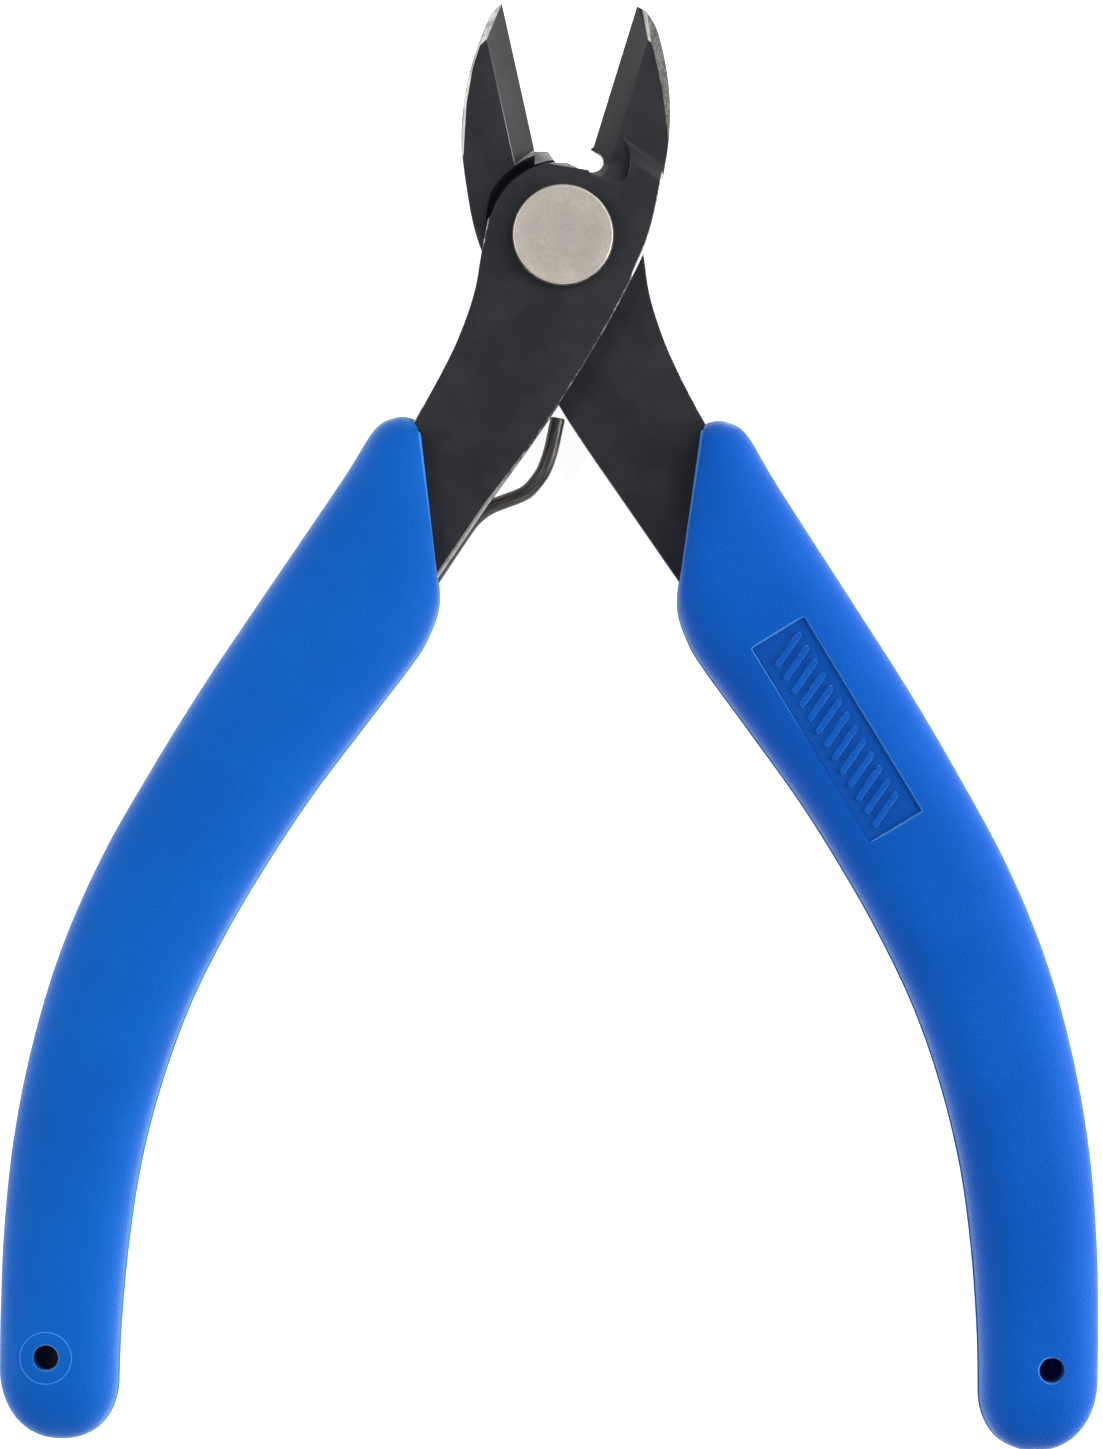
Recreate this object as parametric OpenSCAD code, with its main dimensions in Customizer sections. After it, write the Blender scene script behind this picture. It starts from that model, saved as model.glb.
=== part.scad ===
// Flush cutter: two stamped steel arms that cross at a bolted lap joint, a wire return spring
// and two moulded grips.
//
// Frame: the origin is on the pivot's axis in the plane where the two arms meet. +Y runs along the
// tool towards the jaws and +Z out of the front face. The arms are drawn open, as the spring holds
// them. The front arm carries the right jaw and the left handle, and the rear arm is the other way
// round.

/* [Steel arms] */
// Thickness of each arm's plate
plate_t = 2.1; // [1.8:0.1:2.4]
// Gap between the two plates at the lap joint
lap_gap = 0.04; // [0.02:0.01:0.08]
// Radius of the round boss about the pivot
boss_r = 6.1; // [5.9:0.05:6.2]
// Share of each grip's width that its tang fills
tang_share = 0.56; // [0.4:0.01:0.6]

/* [Jaws] */
// Thickness of each jaw, centred on the lap plane
jaw_t = 2.1; // [1.6:0.1:2.2]
// Width of the bevel behind the front jaw's cutting edge
front_bevel_w = 1.75; // [1.6:0.05:1.9]
// Width of the bevel behind the rear jaw's cutting edge
rear_bevel_w = 1.9; // [1.7:0.05:2.1]
// Flat left on each cutting edge
edge_land = 0.06; // [0.04:0.01:0.1]
// Width of the ramp between a plate's outer face and its jaw
ramp_w = 1.4; // [1.2:0.1:1.6]
// Radius of the notch at the heel of the front jaw
notch_r = 0.85; // [0.8:0.01:0.9]

/* [Pivot] */
// Diameter of the pivot bolt's head
head_d = 8.4; // [7.6:0.1:9]
// Height of the pivot bolt's head
head_h = 0.9; // [0.6:0.1:1.4]
// Diameter of the bolt's shank
shank_d = 5; // [4:0.1:5.4]
// Clearance on the radius between the shank and the rear arm
running_fit = 0.03; // [0.02:0.01:0.06]
// Clearance on the radius between the shank and the front arm
seat_fit = 0.01; // [0.01:0.01:0.03]
// Diameter of the nut
nut_d = 7; // [6.4:0.1:8]
// Thickness of the nut
nut_h = 1.5; // [1.2:0.1:2]

/* [Return spring] */
// Diameter of the spring wire
wire_d = 1.22; // [1:0.02:1.3]

/* [Grips] */
// Thickness of each grip, front to back
grip_t = 9; // [8.4:0.1:10]
// Diameter of the blind hole near each grip's end
grip_hole_d = 2.1; // [1.8:0.1:2.4]
// Depth of the emblem's recess on the right grip
emblem_depth = 0.35; // [0.2:0.05:0.5]

/* [Hidden] */

$fn = 96;
far = 60;
eps = 0.01;
half_gap = lap_gap / 2;
jaw_top = jaw_t / 2;
edge_z = -jaw_top + edge_land;

steel_color = [0.16, 0.16, 0.18];
spring_color = [0.22, 0.22, 0.23];
nickel_color = [0.72, 0.69, 0.65];
grip_color = [0.02, 0.38, 0.8];

// ---------------------------------------------------------------- curves

// Point at parameter t between b and c on the smooth curve through a, b, c and d
function curve_point(a, b, c, d, t) =
  0.5 * (2 * b + (c - a) * t + (2 * a - 5 * b + 4 * c - d) * t * t + (3 * b - a - 3 * c + d) * t * t * t);

// Smooth curve through all the points, with the given steps between each two
function smooth(points, steps) = [
  for (i = [0 : len(points) - 2], s = [0 : steps - 1])
    curve_point(
      points[max(i - 1, 0)],
      points[i],
      points[i + 1],
      points[min(i + 2, len(points) - 1)],
      s / steps
    ),
  points[len(points) - 1]
];

// Arc about a centre, from one angle to another
function arc(centre, r, from, to, steps) = [
  for (i = [0 : steps])
    let (a = from + (to - from) * i / steps)
    centre + r * [cos(a), sin(a)]
];

function mirrored(points) = [for (p = points) [-p.x, p.y]];

// Closed tube swept along a path of 3-D points. The rings are lined up with the vertical, and where
// the path itself is steep they are lined up with the steep guide.
steep = 0.9;
module wire(path, r, sides, steep_guide) {
  last = len(path) - 1;
  function along(i) = path[min(i + 1, last)] - path[max(i - 1, 0)];
  function unit(v) = v / norm(v);
  function side_axis(i) =
    let (t = unit(along(i)), guide = abs(t.z) > steep ? steep_guide : [0, 0, 1])
    unit(cross(t, guide));
  rings = [
    for (i = [0 : last], k = [0 : sides - 1])
      let (u = side_axis(i), v = cross(unit(along(i)), u), a = 360 * k / sides)
      path[i] + r * (cos(a) * u + sin(a) * v)
  ];
  walls = [
    for (i = [0 : last - 1], k = [0 : sides - 1])
      let (n = (k + 1) % sides)
      [i * sides + n, i * sides + k, (i + 1) * sides + k, (i + 1) * sides + n]
  ];
  start_cap = [[for (k = [0 : sides - 1]) k]];
  end_cap = [[for (k = [sides - 1 : -1 : 0]) last * sides + k]];
  polyhedron(rings, concat(walls, start_cap, end_cap), convexity = 6);
}

// Prism with the given section that runs from before p to after q: section x is the distance to
// the line's right-hand side, looking from p to q, and section y is the height
module along_line(p, q, before, after, section) {
  d = q - p;
  translate([p.x, p.y, 0])
    rotate([0, 0, atan2(d.y, d.x) - 90])
      translate([0, norm(d) + after, 0])
        rotate([90, 0, 0])
          linear_extrude(norm(d) + before + after)
            polygon(section);
}

// ---------------------------------------------------------------- grips, as plan stations

// Each row is a chord across the grip on the +X side: outer point, inner point and half thickness
// as a share of the full one. The first chord is the slanted mouth.
grip_rows = [
  [[11.65, -15.65], [10, -28.5], 0.78],
  [[12.4, -15.15], [9.8, -29.6], 0.88],
  [[13.75, -15.15], [9.9, -31.2], 0.95],
  [[15.45, -16.2], [10.6, -33.2], 0.99],
  [[18.05, -20.4], [11.8, -35.3], 1],
  [[24.4, -30], [15.9, -40.8], 1],
  [[29.25, -37.4], [20.1, -46.5], 1],
  [[33.7, -44.8], [23.6, -51.9], 1],
  [[37.6, -51.9], [26.8, -57.4], 1],
  [[40.85, -59.6], [29.8, -63.5], 1],
  [[43.1, -67.4], [32.1, -69.9], 1],
  [[44.55, -75.2], [33.8, -76.6], 1],
  [[45.25, -82.8], [34.8, -83.4], 1],
  [[45.45, -89.8], [35.35, -90], 1],
  [[45.45, -94.4], [35.5, -94.6], 0.98]
];
grip_steps = 3;
grip_sides = 24;
cap_steps = 6;
cap_length = 5.4;
cap_turn = 88;
cap_lean = -0.04;
cap_fullness = 0.6;
cap_plan_fullness = 0.85;
section_power = 2 / 3;

grip_outer = smooth([for (r = grip_rows) r[0]], grip_steps);
grip_inner = smooth([for (r = grip_rows) r[1]], grip_steps);
grip_depth = smooth([for (r = grip_rows) [r[2], 0]], grip_steps);
grip_end_mid = (grip_rows[len(grip_rows) - 1][0] + grip_rows[len(grip_rows) - 1][1]) / 2;
grip_hole_xy = [41.35, -92.95];
emblem_xy = [23, -40.5];
emblem_size = [5, 18.6];
emblem_angle = 32;

// Signed power, which squares up a round section
function squared_up(v) = sign(v) * pow(abs(v), section_power);

// One ring of the grip's surface: the chord's middle, its half vector and the half thickness. The
// ring's flats lie exactly at that half thickness.
flat_share = squared_up(cos(180 / grip_sides));
function grip_ring(mid, half, h) = [
  for (k = [0 : grip_sides - 1])
    let (
      a = 360 * (k + 0.5) / grip_sides,
      u = squared_up(cos(a)) / flat_share,
      v = squared_up(sin(a)) / flat_share
    )
    [mid.x + half.x * u, mid.y + half.y * u, h * v]
];

grip_rings = concat(
  [
    for (i = [0 : len(grip_outer) - 1])
      grip_ring(
        (grip_outer[i] + grip_inner[i]) / 2,
        (grip_outer[i] - grip_inner[i]) / 2,
        grip_t / 2 * grip_depth[i].x
      )
  ],
  [
    for (i = [1 : cap_steps])
      let (
        a = cap_turn * i / cap_steps,
        half = (grip_outer[len(grip_outer) - 1] - grip_inner[len(grip_inner) - 1]) / 2
      )
      grip_ring(
        grip_end_mid + cap_length * sin(a) * [cap_lean, -1],
        half * pow(cos(a), cap_plan_fullness),
        grip_t / 2 * grip_rows[len(grip_rows) - 1][2] * pow(cos(a), cap_fullness)
      )
  ]
);

module grip_skin() {
  rings = len(grip_rings);
  points = [for (ring = grip_rings, p = ring) p];
  walls = [
    for (i = [0 : rings - 2], k = [0 : grip_sides - 1])
      let (n = (k + 1) % grip_sides)
      [i * grip_sides + n, i * grip_sides + k, (i + 1) * grip_sides + k, (i + 1) * grip_sides + n]
  ];
  mouth = [[for (k = [0 : grip_sides - 1]) k]];
  tail = [[for (k = [grip_sides - 1 : -1 : 0]) (rings - 1) * grip_sides + k]];
  polyhedron(points, concat(walls, mouth, tail), convexity = 8);
}

// ---------------------------------------------------------------- arms, drawn for the front arm

// Point at a share of the way across a chord, for the handle on the -X side
function tang_point(i, share) =
  let (r = grip_rows[i], p = r[0] * (1 - share) + r[1] * share)
  [-p.x, p.y];

tang_outer_share = (1 - tang_share) / 2;
tang_inner_share = 1 - tang_outer_share;
last_row = len(grip_rows) - 1;
tang_end = [-40.75, -96];
first_tang_row = 5;
outline_steps = 4;
jaw_steps = 5;
boss_steps = 12;

// Outer side of the handle, from the boss down to the tang's end
handle_outer = smooth(
  concat(
    [[-6.2, 1.3], [-6.75, -1.7], [-7.2, -4.5], [-8.05, -7.3], [-9.4, -10.5], [-12.1, -15.5], [-16.2, -22]],
    [for (i = [first_tang_row : last_row]) tang_point(i, tang_outer_share)],
    [tang_end]
  ),
  outline_steps
);

// Inner side of the handle, from the tang's end up to the jaw. The rear arm's is a little fuller at
// the crossing, by the given amount.
rear_fullness = 0.3;
function handle_inner(fuller) = smooth(
  concat(
    [tang_end],
    [for (i = [last_row : -1 : first_tang_row]) tang_point(i, tang_inner_share)],
    [[-13.7, -33.6], [-9.9, -28.3]],
    [for (p = [[-5.95, -22.35], [-2.4, -17.3], [0, -13.65]]) [p.x + fuller, p.y]],
    [[2.4, -9.7], [4.45, -6], [6.6, -1.5], [7.55, 1.4], [8.2, 4.9]]
  ),
  outline_steps
);

boss_join_angle = 164;
front_boss_angle = 103;
rear_boss_angle = 121;
front_tip = [5.9, 19.3];
front_heel = [2.45, 7.6];
rear_tip = [5.3, 19.35];
rear_heel = [2.42, 7.05];

// Outer edge of each jaw, from the handle up to the tip
front_jaw_outer = smooth(
  [[8.2, 4.9], [8.6, 7.5], [8.75, 10.2], [8.6, 12.8], [8.15, 15.4], [7.5, 17.6], [6.75, 18.75]],
  jaw_steps
);
rear_jaw_outer = smooth(
  [
    [8.2, 4.9],
    [8.5, 7.5],
    [8.42, 10.2],
    [8.05, 12.8],
    [7.4, 15.2],
    [6.65, 17.4],
    [6.05, 18.85],
    [5.75, 19.2]
  ],
  jaw_steps
);

// Notch at the heel of the front jaw
notch_xy = [2.4, 6.2];
notch_from = 75;
notch_to = -100;
notch_steps = 16;
hook_xy = [2.17, 7.35];
front_heel_edge = concat(
  [front_heel, hook_xy],
  arc(notch_xy, notch_r, notch_from, notch_to, notch_steps)
);

// Stub at the heel of the rear jaw, which enters the notch as the jaws close
rear_heel_edge = [rear_heel, [1.35, 7.02], [0.7, 6.15], [-0.3, 6.12], [-2.2, 5.25]];

// Closed outline of an arm seen from the front, with its jaw on the +X side and its boss starting
// at the given angle
function arm_outline(fuller, jaw_outer, tip, heel_edge, boss_angle) = concat(
  handle_inner(fuller),
  jaw_outer,
  [tip],
  heel_edge,
  arc([0, 0], boss_r, boss_angle, boss_join_angle, boss_steps),
  handle_outer
);

front_outline = arm_outline(0, front_jaw_outer, front_tip, front_heel_edge, front_boss_angle);
rear_outline = arm_outline(rear_fullness, rear_jaw_outer, rear_tip, rear_heel_edge, rear_boss_angle);

// The jaw's own part of the outline, above the lap joint's run-out
runout_low = 0.7;
runout_high = 3.6;
module jaw_area(outline) {
  intersection() {
    polygon(outline);
    translate([0, runout_low])
      square([far, far]);
  }
}

// Space for the other arm's boss: flat at the lap plane, then a smooth rise to the jaw's face
pocket_clearance = 0.15;
pocket_r = boss_r + pocket_clearance;
pocket_w = 0.85;
pocket_steps = 8;
module boss_pocket(height) {
  rotate_extrude()
    polygon(concat(
      [[0, -half_gap]],
      [
        for (i = [0 : pocket_steps])
          let (u = i / pocket_steps)
          [pocket_r + pocket_w * u, -half_gap + (height + half_gap) * (1 - cos(180 * u)) / 2]
      ],
      [[pocket_r + pocket_w, far], [0, far]]
    ));
}

// Slope that brings the jaw's inner face down to the lap plane beside the boss
module runout(height) {
  rotate([90, 0, 90])
    linear_extrude(far)
      polygon([
        [-far, -half_gap],
        [runout_low, -half_gap],
        [runout_high, height],
        [runout_high, height + eps],
        [-far, height + eps]
      ]);
}

// What is cut away in front of a cutting edge that runs from heel to tip, to leave the bevel
bevel_past_tip = 3;
bevel_reach = 4;
front_bevel_below = 1.2;
rear_bevel_below = 3;
module bevel(heel, tip, width, below_heel) {
  along_line(heel, tip, below_heel, bevel_past_tip, [
    [-bevel_reach, edge_z],
    [0, edge_z],
    [width, jaw_top],
    [width, far],
    [-bevel_reach, far]
  ]);
}

// A flat ground on the outer edge: it meets the jaw's face on the line p to q and falls away to the
// right of it at the given angle
cut_overrun = 12;
module ground_flat(p, q, fall) {
  along_line(p, q, cut_overrun, cut_overrun, [
    [0, jaw_top],
    [far * cos(fall), jaw_top - far * sin(fall)],
    [far * cos(fall), far],
    [0, far]
  ]);
}

// Ramp from the plate's outer face down to the jaw's face, rounded at both ends, with the line at the
// ramp's foot
ramp_left = [4.6, 8.5];
ramp_right = [8.4, 5.9];
ramp_steps = 10;
module jaw_ramp() {
  along_line(ramp_right, ramp_left, cut_overrun, cut_overrun, concat(
    [[far, jaw_top], [far, far], [-ramp_w, far]],
    [
      for (i = [0 : ramp_steps])
        let (u = i / ramp_steps)
        [-ramp_w * (1 - u), plate_t - (plate_t - jaw_top) * (1 - cos(180 * u)) / 2]
    ]
  ));
}

// Scoop beside the notch, where the bevel and the jaw's face curve up into the plate's face
scoop_edge = smooth(
  [[1.6, 6], [2.3, 5.1], [3.4, 4.7], [4.6, 4.5], [5.2, 4.9], [5.45, 6], [5.35, 7.2], [4.6, 8.6]],
  outline_steps
);
scoop_top = [[4.6, 12], [0, 12]];
scoop_start = 0.7;
scoop_r = 2.2;
scoop_turn = 50;
scoop_steps = 8;
edge_line = front_tip - front_heel;
bevel_rise = atan2(jaw_top - edge_z, front_bevel_w);

// Floor along the edge's direction: level above the start, then an arc and a straight rise
scoop_floor = concat(
  [[far, 0]],
  [
    for (i = [0 : scoop_steps])
      let (a = scoop_turn * i / scoop_steps)
      [-scoop_start - scoop_r * sin(a), scoop_r * (1 - cos(a))]
  ],
  [[-scoop_start - scoop_r - far * cos(scoop_turn), far * sin(scoop_turn)], [far, far]]
);
module scoop_cut() {
  rotate([90, 0, 90])
    linear_extrude(far)
      polygon(scoop_floor);
}
module scoop() {
  intersection() {
    translate([0, 0, -jaw_top])
      linear_extrude(far)
        polygon(concat(scoop_edge, scoop_top));
    translate([front_heel.x, front_heel.y, 0])
      rotate([0, 0, atan2(edge_line.y, edge_line.x) - 90])
        union() {
          translate([0, 0, jaw_top])
            scoop_cut();
          translate([0, 0, edge_z])
            rotate([0, -bevel_rise, 0])
              scoop_cut();
        }
  }
}

// Hole in the front arm's tang that holds the spring's hooked end
anchor_xy = [-16.1, -35.4];
anchor_clearance = 0.05;

module front_arm() {
  color(steel_color)
    difference() {
      union() {
        translate([0, 0, half_gap])
          linear_extrude(plate_t - half_gap)
            polygon(front_outline);
        translate([0, 0, -jaw_top])
          linear_extrude(jaw_top + 2 * half_gap)
            jaw_area(front_outline);
      }
      jaw_ramp();
      scoop();
      bevel(front_heel, front_tip, front_bevel_w, front_bevel_below);
      front_jaw_flats();
      mirror([0, 0, 1]) {
        boss_pocket(jaw_top);
        runout(jaw_top);
      }
      translate([0, 0, -far])
        cylinder(r = shank_d / 2 + seat_fit, h = 2 * far);
      translate([anchor_xy.x, anchor_xy.y, -far])
        cylinder(r = wire_d / 2 + anchor_clearance, h = 2 * far, $fn = 32);
    }
}

// Flats ground on the front jaw's outer edge and tip
front_flat_fall = 65;
front_tip_fall = 38;
module front_jaw_flats() {
  ground_flat([8.65, 7.6], [8.1, 12], front_flat_fall);
  ground_flat([8.1, 12], [7.28, 15.6], front_flat_fall);
  ground_flat([7.28, 15.6], [6.03, 18.6], front_flat_fall);
  ground_flat([7.18, 16.03], [6.69, 16.38], front_tip_fall);
}

// Flats ground on the rear jaw's outer edge and tip
rear_flat_fall = 62;
rear_tip_fall = 53;
module rear_jaw_flats() {
  ground_flat([8.33, 6.5], [8.12, 10.8], rear_flat_fall);
  ground_flat([8.12, 10.8], [7.65, 13.8], rear_flat_fall);
  ground_flat([7.65, 13.8], [7.1, 15.6], rear_flat_fall);
  ground_flat([7.15, 15.6], [6.5, 16.2], rear_tip_fall);
}

// End of the rear jaw's bevel, a steep round ledge, and the top of the stub beside it
ledge_r = 7.1;
ledge_slope = 0.6;
stub_top = 0.1;
stub_margin = 1;

module rear_arm() {
  color(steel_color)
    mirror([1, 0, 0])
      difference() {
        union() {
          translate([0, 0, -plate_t])
            linear_extrude(plate_t - half_gap)
              polygon(rear_outline);
          translate([0, 0, -2 * half_gap])
            linear_extrude(jaw_top + 2 * half_gap)
              jaw_area(rear_outline);
        }
        mirror([0, 0, 1])
          jaw_ramp();
        difference() {
          bevel(rear_heel, rear_tip, rear_bevel_w, rear_bevel_below);
          translate([0, 0, -jaw_top])
            cylinder(r1 = ledge_r + ledge_slope, r2 = ledge_r, h = jaw_t);
          translate([0, 0, jaw_top - eps])
            cylinder(r = ledge_r, h = far);
        }
        translate([-far + rear_heel.x, 0, stub_top])
          cube([far, rear_heel.y + stub_margin, far]);
        rear_jaw_flats();
        boss_pocket(jaw_top);
        runout(jaw_top);
        translate([0, 0, -far])
          cylinder(r = shank_d / 2 + running_fit, h = 2 * far);
      }
}

// ---------------------------------------------------------------- pivot hardware

head_chamfer = 0.18;
shoulder_z = -plate_t - running_fit;
thread_r = 1.8;
thread_fit = 0.01;
nut_chamfer = 0.3;
slot_w = 1.2;
slot_depth = 0.7;

module pivot_bolt() {
  color(nickel_color)
    rotate_extrude()
      polygon([
        [0, shoulder_z - nut_h + slot_depth],
        [thread_r, shoulder_z - nut_h + slot_depth],
        [thread_r, shoulder_z],
        [shank_d / 2, shoulder_z],
        [shank_d / 2, plate_t],
        [head_d / 2, plate_t],
        [head_d / 2, plate_t + head_h - head_chamfer],
        [head_d / 2 - head_chamfer, plate_t + head_h],
        [0, plate_t + head_h]
      ]);
}

module pivot_nut() {
  color(steel_color)
    translate([0, 0, shoulder_z - nut_h])
      difference() {
        rotate_extrude()
          polygon([
            [thread_r + thread_fit, 0],
            [nut_d / 2 - nut_chamfer, 0],
            [nut_d / 2, nut_chamfer],
            [nut_d / 2, nut_h],
            [thread_r + thread_fit, nut_h]
          ]);
        translate([-nut_d, -slot_w / 2, -eps])
          cube([2 * nut_d, slot_w, slot_depth]);
      }
}

// ---------------------------------------------------------------- return spring

wire_r = wire_d / 2;
wire_sides = 14;
arm_clearance = 0.06;
spring_z = -half_gap - wire_r - arm_clearance;
hook_inset = 0.3;
hook_z = plate_t - hook_inset;

// Wire's centreline in the plane behind the front arm, from the free tip to the anchor
spring_plan = [
  [-0.25, -14.95],
  [-0.5, -16.3],
  [-0.85, -17.9],
  [-1.45, -19.5],
  [-2.45, -20.85],
  [-3.25, -21.4],
  [-4.5, -21.9],
  [-5.7, -22.4],
  [-6.6, -23],
  [-7.35, -23.8],
  [-8.6, -25.65],
  [-10.6, -28.75],
  [-12.6, -31.8],
  [-14.3, -34.3]
];

// The leg's end turns up through a bend and into the anchor hole
hook_r = 0.75;
hook_steps = 6;
hook_line = anchor_xy - spring_plan[len(spring_plan) - 1];
hook_dir = hook_line / norm(hook_line);
spring_path = concat(
  smooth([for (p = spring_plan) [p.x, p.y, spring_z]], outline_steps),
  [
    for (i = [0 : hook_steps])
      let (a = 90 * i / hook_steps, p = anchor_xy - hook_r * (1 - sin(a)) * hook_dir)
      [p.x, p.y, spring_z + hook_r * (1 - cos(a))]
  ],
  [[anchor_xy.x, anchor_xy.y, hook_z]]
);

module return_spring() {
  color(spring_color)
    wire(spring_path, wire_r, wire_sides, [-hook_dir.x, -hook_dir.y, 0]);
}

// ---------------------------------------------------------------- grips

hole_bottom = plate_t;

module grip_hole(bottom) {
  translate([grip_hole_xy.x, grip_hole_xy.y, bottom])
    cylinder(d = grip_hole_d, h = far, $fn = 48);
}

// Room behind the tang for the spring's leg to lie and flex
leg_room = 0.25;
leg_start = [-8, -24.6];
leg_end = [-15.6, -36.6];
leg_overrun = 2;
anchor_side = 1.2;
module spring_channel() {
  side = wire_r + leg_room;
  along_line(leg_start, leg_end, leg_overrun, leg_overrun, [
    [-side, half_gap + eps],
    [-side, spring_z - side],
    [side + anchor_side, spring_z - side],
    [side + anchor_side, half_gap + eps]
  ]);
}

module left_grip() {
  color(grip_color)
    difference() {
      mirror([1, 0, 0])
        grip_skin();
      translate([0, 0, half_gap])
        linear_extrude(plate_t - half_gap)
          polygon(front_outline);
      spring_channel();
      mirror([1, 0, 0])
        grip_hole(hole_bottom);
    }
}

module right_grip() {
  color(grip_color)
    difference() {
      grip_skin();
      translate([0, 0, -plate_t])
        linear_extrude(plate_t - half_gap)
          polygon(mirrored(rear_outline));
      grip_hole(-half_gap);
      translate([emblem_xy.x, emblem_xy.y, grip_t / 2 - emblem_depth])
        rotate([0, 0, emblem_angle])
          translate([-emblem_size.x / 2, -emblem_size.y / 2, 0])
            cube([emblem_size.x, emblem_size.y, far]);
    }
}

front_arm();
rear_arm();
pivot_bolt();
pivot_nut();
return_spring();
left_grip();
right_grip();
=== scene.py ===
"""Looks of the flush cutter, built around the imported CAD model. Sizes are given in millimetres and made
into metres where a mesh is built. The object's frame: origin on the pivot's axis in the lap plane, +Y
towards the jaws, +Z out of the front face."""

import math
import random

import bmesh
import bpy
from mathutils import Matrix, Vector


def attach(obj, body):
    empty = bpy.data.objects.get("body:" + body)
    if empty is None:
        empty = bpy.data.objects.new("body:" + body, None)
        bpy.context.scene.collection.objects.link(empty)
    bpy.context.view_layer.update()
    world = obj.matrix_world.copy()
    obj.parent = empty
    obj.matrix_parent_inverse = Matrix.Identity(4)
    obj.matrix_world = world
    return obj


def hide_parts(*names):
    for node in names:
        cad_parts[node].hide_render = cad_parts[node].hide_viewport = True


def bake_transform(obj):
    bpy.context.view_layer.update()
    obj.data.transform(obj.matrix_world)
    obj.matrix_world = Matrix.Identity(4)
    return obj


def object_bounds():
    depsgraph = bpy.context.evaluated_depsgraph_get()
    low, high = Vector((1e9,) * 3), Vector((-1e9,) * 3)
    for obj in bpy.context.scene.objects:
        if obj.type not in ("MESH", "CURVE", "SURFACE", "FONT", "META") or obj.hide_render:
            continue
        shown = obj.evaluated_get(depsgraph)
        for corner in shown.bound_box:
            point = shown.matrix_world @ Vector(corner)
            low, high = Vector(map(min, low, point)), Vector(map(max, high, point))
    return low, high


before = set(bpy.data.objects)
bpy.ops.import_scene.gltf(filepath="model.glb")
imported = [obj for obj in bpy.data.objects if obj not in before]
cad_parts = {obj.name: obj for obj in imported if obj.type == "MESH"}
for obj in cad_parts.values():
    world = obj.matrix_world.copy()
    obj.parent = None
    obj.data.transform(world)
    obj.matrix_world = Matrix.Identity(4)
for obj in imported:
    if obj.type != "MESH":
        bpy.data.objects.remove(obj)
CAD_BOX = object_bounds()
MM = 0.001
rng = random.Random(7)


# ---------------------------------------------------------------- curves and meshes


def smooth(points, steps):
    """Catmull-Rom curve through the points, as tuples of any length."""
    out = []
    for i in range(len(points) - 1):
        a, b, c, d = (points[max(i - 1, 0)], points[i], points[i + 1], points[min(i + 2, len(points) - 1)])
        for s in range(steps):
            t = s / steps
            out.append(
                tuple(
                    0.5
                    * (
                        2 * q
                        + (r - p) * t
                        + (2 * p - 5 * q + 4 * r - u) * t * t
                        + (3 * q - p - 3 * r + u) * t * t * t
                    )
                    for p, q, r, u in zip(a, b, c, d)
                )
            )
    out.append(tuple(points[-1]))
    return out


def new_object(name, mesh, materials):
    """Object in the scene with the mesh and its material slots."""
    obj = bpy.data.objects.new(name, mesh)
    bpy.context.scene.collection.objects.link(obj)
    for m in materials:
        obj.data.materials.append(m)
    return obj


def mesh_from(name, verts_mm, faces):
    """Mesh from vertices in millimetres."""
    mesh = bpy.data.meshes.new(name)
    mesh.from_pydata([tuple(c * MM for c in v) for v in verts_mm], [], faces)
    mesh.validate()
    mesh.update()
    return mesh


def outward(mesh):
    """Turns the faces of a closed mesh outward."""
    bm = bmesh.new()
    bm.from_mesh(mesh)
    bmesh.ops.recalc_face_normals(bm, faces=bm.faces)
    bm.to_mesh(mesh)
    bm.free()


def shade(mesh, degrees):
    """Smooth shading, with edges sharper than the angle kept crisp."""
    for p in mesh.polygons:
        p.use_smooth = True
    mesh.set_sharp_from_angle(angle=math.radians(degrees))


def unit_circle(sides):
    """Points round the unit circle as (cos, sin)."""
    angles = [2 * math.pi * k / sides for k in range(sides)]
    return [(math.cos(a), math.sin(a)) for a in angles]


def tube_faces(rings, n):
    """Quads between neighbouring rings of n points each."""
    return [
        (i * n + k, i * n + (k + 1) % n, (i + 1) * n + (k + 1) % n, (i + 1) * n + k)
        for i in range(rings - 1)
        for k in range(n)
    ]


def lofted(name, rings):
    """Closed surface through rings of equal length, with flat ends."""
    n = len(rings[0])
    verts = [p for ring in rings for p in ring]
    faces = tube_faces(len(rings), n)
    faces += [tuple(range(n)), tuple((len(rings) - 1) * n + k for k in range(n))]
    mesh = mesh_from(name, verts, faces)
    outward(mesh)
    return mesh


def lathe(name, profile, sides):
    """Solid of revolution about Z from (radius, height) points that start and end on the axis."""
    rings = profile[1:-1]
    verts = [(0, 0, profile[0][1]), (0, 0, profile[-1][1])]
    for r, z in rings:
        verts += [(r * c, r * s, z) for c, s in unit_circle(sides)]
    faces = []
    last = 2 + (len(rings) - 1) * sides
    for k in range(sides):
        m = (k + 1) % sides
        faces.append((0, 2 + k, 2 + m))
        faces.append((1, last + k, last + m))
    for i in range(len(rings) - 1):
        for k in range(sides):
            m = (k + 1) % sides
            a, b = 2 + i * sides, 2 + (i + 1) * sides
            faces.append((a + k, a + m, b + m, b + k))
    mesh = mesh_from(name, verts, faces)
    outward(mesh)
    return mesh


def cut_away(obj, cutter):
    """Cuts the cutter's shape out of the object's mesh and removes the cutter."""
    mod = obj.modifiers.new("cut", "BOOLEAN")
    mod.operation = "DIFFERENCE"
    mod.object = cutter
    mod.solver = "EXACT"
    bpy.context.view_layer.update()
    done = bpy.data.meshes.new_from_object(obj.evaluated_get(bpy.context.evaluated_depsgraph_get()))
    obj.modifiers.remove(mod)
    old = obj.data
    obj.data = done
    bpy.data.meshes.remove(old)
    bpy.data.objects.remove(cutter)


# ---------------------------------------------------------------- materials


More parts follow.
